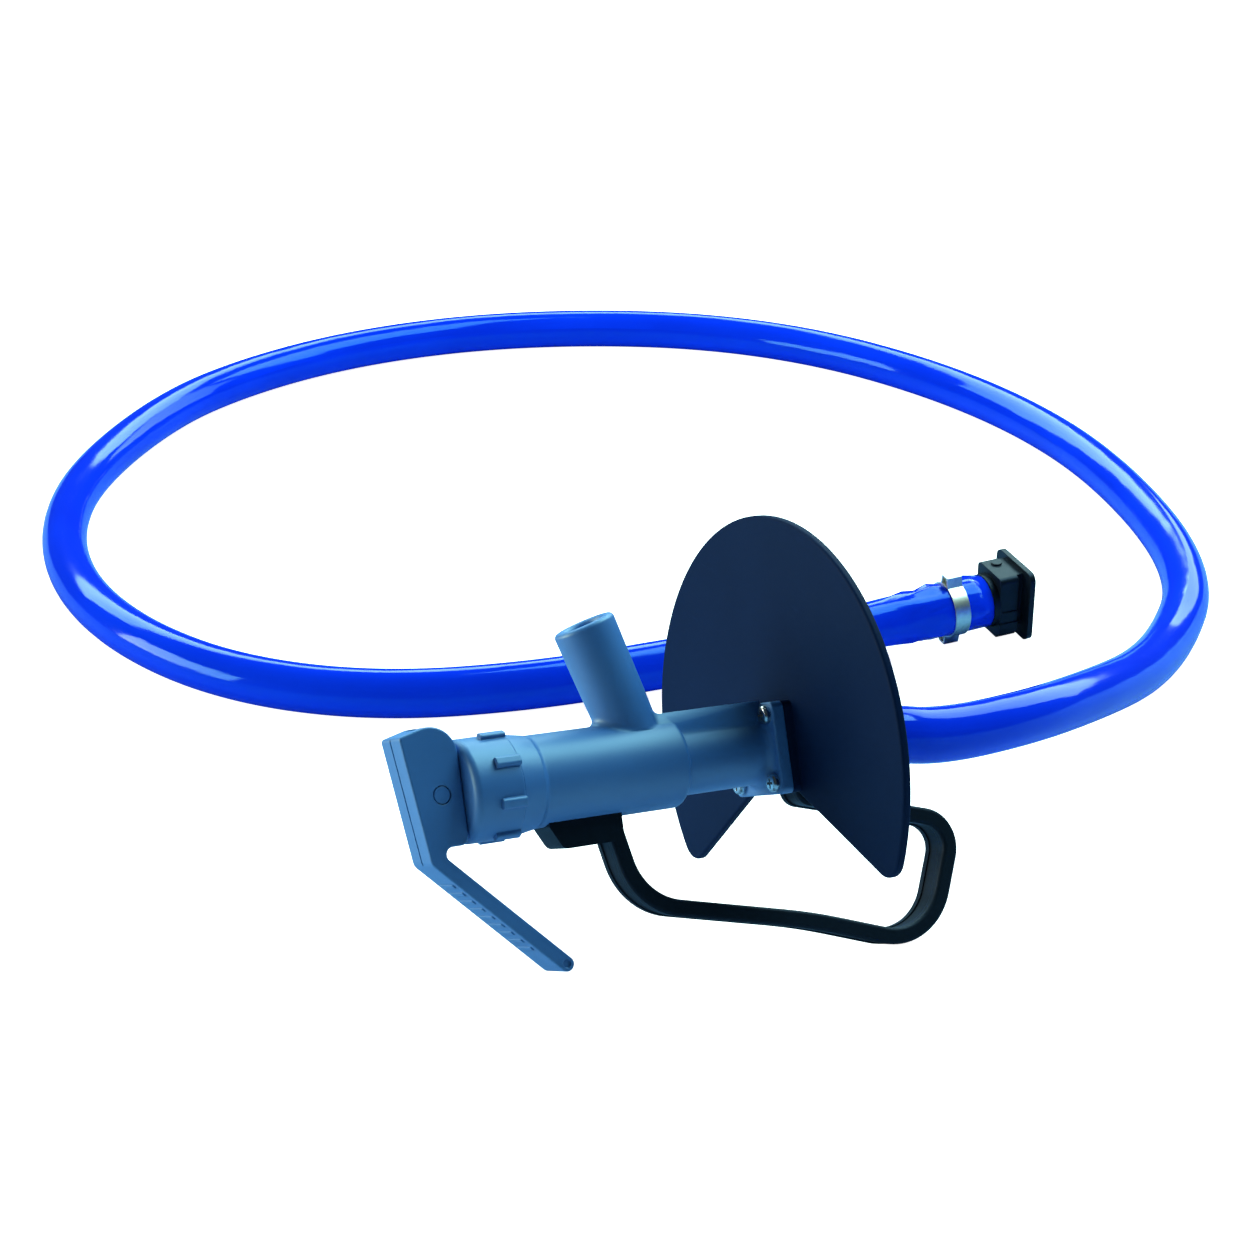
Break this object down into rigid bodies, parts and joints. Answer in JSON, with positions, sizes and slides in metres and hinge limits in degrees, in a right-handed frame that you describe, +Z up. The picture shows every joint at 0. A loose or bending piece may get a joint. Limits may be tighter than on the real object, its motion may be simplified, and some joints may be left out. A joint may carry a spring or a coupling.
{
  "type": "lever-valve hose gun with splash shield",
  "caption": "Hand-held hose gun with a squeeze lever, sprung valve, upward spout, notched round splash shield, loop handle and a looped hose with a flanged connector.",
  "frame": {"origin": "centre of the gun's box at the floor, without the free hose", "axes": "+X from the lever to the hose, +Z up from the floor; the gun leans over on its handle"},
  "size_m": [0.6631, 0.928, 0.1921],
  "materials": {
    "blue_grey_plastic": "satin moulded plastic",
    "black_plastic": "matt moulded plastic",
    "white_plastic": "smooth moulded plastic",
    "hose_blue": "glossy soft vinyl",
    "zinc": "zinc plate",
    "bright_steel": "plated",
    "stainless": "turned",
    "rubber": "matt"
  },
  "bodies": {
    "gun": {"valve_body": "blue_grey_plastic", "cap_nut": "blue_grey_plastic", "splash_shield": "black_plastic", "handle": "black_plastic", "hose_tail": "black_plastic", "connector": "black_plastic", "gland_bush": "white_plastic", "hose": "hose_blue", "gun_clamp": "zinc", "connector_clamp": "zinc", "flange_screws": "bright_steel", "flange_washers": "bright_steel", "flange_nuts": "bright_steel", "handle_screws": "bright_steel", "return_spring": "stainless", "gland_o_ring": "rubber", "stem_seal": "rubber", "tail_gasket": "rubber", "connector_seal": "rubber"},
    "stem": {"valve_stem": "stainless", "plug_cup": "stainless", "valve_plug": "rubber", "plug_nut": "stainless"},
    "lever": {"lever": "blue_grey_plastic", "lever_pin": "blue_grey_plastic"}
  },
  "joints": [
    {"name": "stem_slide", "type": "slide", "parent": "gun", "child": "stem", "axis": [-0.9954, 0, 0.0958], "range_m": [0, 0.0069], "deforming": ["return_spring"]},
    {"name": "lever_squeeze", "type": "hinge", "parent": "stem", "child": "lever", "pos_m": [-0.11337, 0, 0.1067], "axis": [0.0428, -0.8949, 0.4441], "range_deg": [0, 24], "stiffness_Nm_per_rad": 0.4, "springref_deg": -20.05}
  ],
  "couplings": [
    {"joint": "lever_squeeze", "follows": "stem_slide", "rad_per_m": 60.6}
  ]
}
